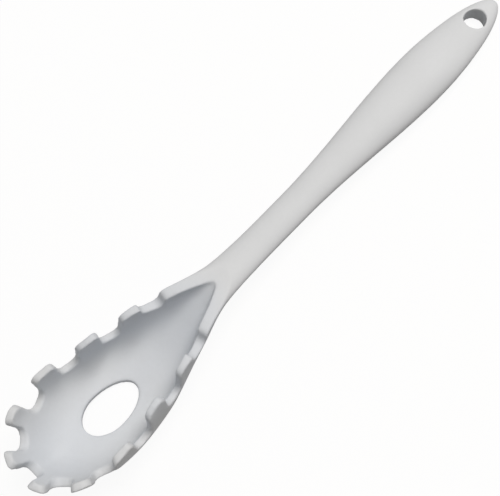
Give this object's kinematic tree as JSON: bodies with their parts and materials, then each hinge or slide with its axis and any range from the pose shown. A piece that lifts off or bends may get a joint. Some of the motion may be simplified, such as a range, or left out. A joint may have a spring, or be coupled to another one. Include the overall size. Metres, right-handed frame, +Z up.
{
  "type": "pasta server",
  "caption": "Silicone pasta server: a deep toothed bowl with an egg-shaped drain hole on a long slim neck and a fat grip with an oval hang hole.",
  "frame": {"origin": "on the table under the middle of the object's length and width", "axes": "+X along the handle from the front tines to the hang hole, +Y to the left, +Z up out of the open bowl, lying on its back as it does at rest"},
  "size_m": [0.322, 0.0554, 0.0372],
  "materials": {
    "silicone": "matte",
    "nylon_core": "matte",
    "steel_strip": "brushed"
  },
  "bodies": {
    "root": {"silicone_skin": "silicone", "head_core": "nylon_core", "grip_core": "nylon_core", "steel_bar": "steel_strip"}
  },
  "joints": []
}
